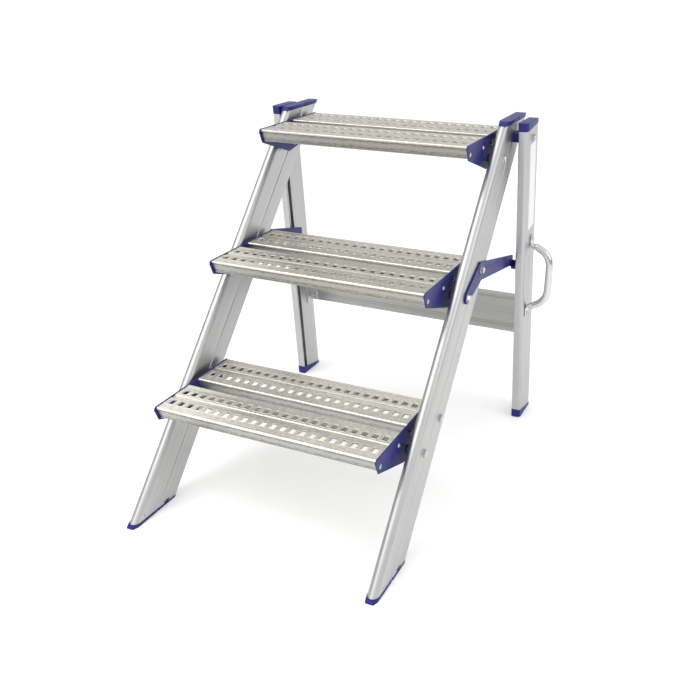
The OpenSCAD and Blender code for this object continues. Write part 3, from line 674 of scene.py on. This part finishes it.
TREADS = ((1, "bottom"), (2, "middle"), (3, "top"))
for k, tread in TREADS:
    y0 = TREAD_FRONT + (k - 1) * RUN
    bm, bolts = bmesh.new(), bmesh.new()
    for side in (-1, 1):
        for plank_y in (0, PLANK_D + PLANK_GAP):
            for py, pz in PORTS:
                place = x_place(side, BRACKET_OUT, y0 + plank_y + py, k * RISE + pz)
                rivet_head(bm, place, *BRACKET_RIVET)
        for py, pz in (LOWER_BOLT, UPPER_BOLT):
            if k == 3 and (py, pz) == UPPER_BOLT:
                continue
            seat = STAY_OUT if k == 2 else STILE_OUT
            pts, hexed = bolt_profile(BOLT_R, BOLT_H, seat - BOLT_TIP)
            lathe(bolts, x_place(side, seat, y0 + py, k * RISE + pz), pts, 36, hexed)
    finish_mesh(f"{tread}_bracket_rivet_heads", bm, "zinc+pin", "front_frame",
                [f"{tread}_bracket_rivets"])
    finish_mesh(f"{tread}_tread_bolt_heads", bolts, "zinc", "front_frame", [f"{tread}_tread_bolts"])

hinge_y, hinge_z = TREAD_FRONT + 2 * RUN + UPPER_BOLT[0], 3 * RISE + UPPER_BOLT[1]
bm = bmesh.new()
for side in (-1, 1):
    seat = LEG_OUT + HINGE_PLAY
    pts, hexed = bolt_profile(BOLT_R, BOLT_H, seat - BOLT_TIP)
    lathe(bm, x_place(side, seat, hinge_y, hinge_z), pts, 36, hexed)
finish_mesh("hinge_bolt_heads", bm, "zinc", "front_frame", ["hinge_bolts"])

bm = bmesh.new()
for side in (-1, 1):
    for s, d in CAP_RIVETS + FOOT_RIVETS:
        base = stile_point(1, 0, d, s) / MM - SHIFT
        for x, out in ((STILE_OUT, 1), (STILE_IN, -1)):
            rivet_head(bm, x_place(side, x, base.y, base.z, out), *END_RIVET, 20)
finish_mesh("stile_end_rivet_heads", bm, "zinc+pin", "front_frame", ["stile_end_rivets"])

bm, bar_rivets = bmesh.new(), bmesh.new()
for side in (-1, 1):
    for s in CLEAT_S:
        base = leg_point(1, 0, CLEAT_RIVET_DEPTH, s) / MM - SHIFT
        rivet_head(bm, x_place(side, LEG_IN - CLEAT_T, base.y, base.z, -1), *CLEAT_RIVET, 24)

        def forward(a, u, v, side=side, s=s):
            return leg_point(side, LEG_IN - BAR_RIVET_IN + u, LEG_D - CLEAT_T - a, s + v)
        rivet_head(bar_rivets, forward, *CLEAT_RIVET, 24)
finish_mesh("cleat_rivet_heads", bm, "zinc+pin", "rear_frame", ["cleat_rivets"])
finish_mesh("crossbar_rivet_heads", bar_rivets, "zinc+pin", "rear_frame", ["crossbar_rivets"])


# ------------------------------------------------------------------ carry handle
def handle_point(x, y, z):
    """Handle frame: x out of the leg's outer face, z along the grip."""
    c, s = math.cos(HANDLE_TILT), math.sin(HANDLE_TILT)
    return leg_point(1, LEG_OUT + x, HANDLE_AT[1] + y * c + z * s, HANDLE_AT[0] - y * s + z * c)


def handle_path():
    """Half the handle's centre line from the tab end to the middle, with section sizes."""
    tip = TAB_END + HANDLE_R
    pts = []
    for k in range(9):
        w = math.pi / 2 * k / 8
        s = HANDLE_R * (1 - math.cos(w))
        pts.append((TAB_T / 2, tip - s, TAB_T / 2, max(0.6, HANDLE_R * math.sin(w)) + 0.01))
    z_bend = HANDLE_HALF + TUBE_BEND
    pts.append((TAB_T / 2, z_bend + 2, TAB_T / 2 + 0.1, HANDLE_R))
    for k in range(9):
        w = math.pi / 2 * k / 8
        grow = (k / 8) ** 1.5
        pts.append((TAB_T / 2 + TUBE_BEND * (1 - math.cos(w)), z_bend - TUBE_BEND * math.sin(w),
                    2.1 + 4.6 * grow, HANDLE_R))
    pts.append((TAB_T / 2 + TUBE_BEND + 5, HANDLE_HALF, 7.9, HANDLE_R))
    start = HANDLE_REACH - HANDLE_BEND
    pts = [p for p in pts if p[0] < TAB_T / 2 + TUBE_BEND + 5.1]
    for k in range(17):
        w = math.pi / 2 * k / 16
        x = start + HANDLE_BEND * math.sin(w)
        if x > pts[-1][0] + 3:
            pts.append((x, HANDLE_HALF - HANDLE_BEND * (1 - math.cos(w)), HANDLE_R, HANDLE_R))
    pts.append((HANDLE_REACH, 14.0, HANDLE_R, HANDLE_R))
    return pts


def handle_mesh():
    half = handle_path()
    path = half + [(x, -z, a, b) for x, z, a, b in reversed(half)]
    bm = bmesh.new()
    loops = []
    for i, (x, z, a, b) in enumerate(path):
        p, q = path[max(0, i - 1)], path[min(len(path) - 1, i + 1)]
        tx, tz = q[0] - p[0], q[1] - p[1]
        length = math.hypot(tx, tz)
        nx, nz = tz / length, -tx / length
        power = 2.0 + 1.6 * max(0.0, 1 - a / HANDLE_R)
        loop = []
        for k in range(28):
            w = 2 * math.pi * k / 28
            c, s = math.cos(w), math.sin(w)
            u = math.copysign(abs(c) ** (2 / power), c) * a
            v = math.copysign(abs(s) ** (2 / power), s) * b
            loop.append(handle_point(x + nx * u, v, z + nz * u))
        loops.append(loop)
    skin_loops(bm, loops)
    return bm


finish_mesh("carry_handle_tube", handle_mesh(), "chrome", "rear_frame", ["carry_handle"], 50.0)
bm = bmesh.new()
for z in (-TAB_END, TAB_END):
    rivet_head(bm, lambda a, u, v, z=z: handle_point(TAB_T + a, u, z + v), *HANDLE_SCREW)
finish_mesh("handle_screw_heads", bm, "zinc+pin", "rear_frame", ["handle_screws"])

# ------------------------------------------------------------------ blank label
bm = bmesh.new()
near, far = LABEL_DEPTHS
low, high = LABEL_HEIGHTS
loop = rounded([(near, low, LABEL_CORNER), (far, low, LABEL_CORNER),
                (far, high, LABEL_CORNER), (near, high, LABEL_CORNER)], 5)


def label_loop(height, inset):
    """Edge of the film at a height off the leg, drawn in a little from the outline."""
    mid_d, mid_s = (near + far) / 2, (low + high) / 2
    return [leg_point(1, LEG_OUT + height, d + math.copysign(inset, mid_d - d),
                      s + math.copysign(inset, mid_s - s)) for d, s in loop]


skin_loops(bm, [label_loop(0.0, 0.0), label_loop(0.22, 0.0), label_loop(LABEL_T, 0.15)])
finish_mesh("blank_label_film", bm, "label", "rear_frame", ["blank_label"])

# ------------------------------------------------------------------ other CAD nodes
shown = {n for n, o in nodes.items() if not o.hide_render}
special = {"crossbar": "bar", "left_crossbar_cleat": "cleat", "right_crossbar_cleat": "cleat"}
for n in sorted(shown):
    o = nodes[n]
    o.data.materials.clear()
    o.data.materials.append(mat[special.get(n, LOOK[slot_of[n]])])
    weld = o.modifiers.new("weld", "WELD")
    weld.merge_threshold = 1e-5
    edge = o.modifiers.new("edge", "BEVEL")
    edge.width, edge.segments, edge.limit_method = 0.45 * MM, 2, "ANGLE"
    edge.angle_limit = math.radians(40)
    edge.harden_normals = True

# ------------------------------------------------------------------ camera
cam_data = bpy.data.cameras.new("camera")
cam = bpy.data.objects.new("camera", cam_data)
bpy.context.scene.collection.objects.link(cam)
bpy.context.scene.camera = cam
CAM_POS = (0.784406, -1.603824, 1.069835)
YAW, PITCH, ROLL = 25.588, -20.724, -0.373
SENSOR = 36.0
# Focal length and shift as parts of the picture's width
FOCAL, CAM_SHIFT_X, CAM_SHIFT_Y = 1.275977, -0.012981, -0.074643
cam_data.sensor_fit = "HORIZONTAL"
cam_data.sensor_width = SENSOR
cam_data.lens = FOCAL * SENSOR
cam_data.shift_x, cam_data.shift_y = CAM_SHIFT_X, CAM_SHIFT_Y
cam.matrix_world = (
    Matrix.Translation(CAM_POS)
    @ Matrix.Rotation(math.radians(YAW), 4, "Z")
    @ Matrix.Rotation(math.radians(90 + PITCH), 4, "X")
    @ Matrix.Rotation(math.radians(ROLL), 4, "Z")
)

# ------------------------------------------------------------------ floor and light
FLOOR_HALF, FLOOR_DROP = 40.0, 0.2
floor_mesh = bpy.data.meshes.new("floor")
bm = bmesh.new()
bmesh.ops.create_grid(bm, x_segments=1, y_segments=1, size=FLOOR_HALF)
bm.to_mesh(floor_mesh)
bm.free()
floor = bpy.data.objects.new("floor", floor_mesh)
bpy.context.scene.collection.objects.link(floor)
floor_mat, t, b = new_material("pale_floor", {"Roughness": 0.9, "Specular IOR Level": 0.1})
cloud = t.noise(t.coords(), 1.5, 3.0)
t.tree.links.new(t.ramp(cloud, [(0.3, grey(0.93)), (0.7, grey(0.95))]), b.inputs["Base Color"])
b.inputs["Emission Color"].default_value = (1, 1, 1, 1)
b.inputs["Emission Strength"].default_value = 0.16
floor.data.materials.append(floor_mat)
floor.location.z = -FLOOR_DROP * MM

world = bpy.data.worlds.new("world")
bpy.context.scene.world = world
world.use_nodes = True
t = Nodes(world.node_tree)
tc = t.add("ShaderNodeTexCoord")
xyz = t.add("ShaderNodeSeparateXYZ", {"Vector": tc.outputs["Generated"]})
up = t.ramp(xyz.outputs["Z"], [(0.0, grey(0.60)), (0.14, grey(0.62)),
                               (0.42, grey(1.0)), (1.0, grey(0.97))])
across = t.ramp(t.remap(xyz.outputs["X"], 0.0, 1.0, (-1, 1)),
                [(0.0, grey(0.35)), (0.16, grey(1.0)), (0.80, grey(1.0)), (1.0, (0.80, 0.80, 0.77))])
t.tree.links.new(t.multiply(up, across), world.node_tree.nodes["Background"].inputs["Color"])
world.node_tree.nodes["Background"].inputs["Strength"].default_value = 1.06


def area(name, pos, target, size, watts, colour=(1, 1, 1)):
    data = bpy.data.lights.new(name, "AREA")
    data.shape, data.size, data.size_y = "RECTANGLE", size[0], size[1]
    data.energy, data.color = watts, colour
    o = bpy.data.objects.new(name, data)
    bpy.context.scene.collection.objects.link(o)
    o.location = pos
    o.rotation_mode = "QUATERNION"
    o.rotation_quaternion = (Vector(target) - Vector(pos)).to_track_quat("-Z", "Y")
    return o


area("key", (-1.0, -1.5, 3.0), (0, 0, 0.35), (2.2, 2.2), 45)
area("side", (3.0, 0.0, 1.9), (0.2, 0, 0.4), (1.3, 1.8), 14)

bpy.context.scene.view_settings.view_transform = "Standard"
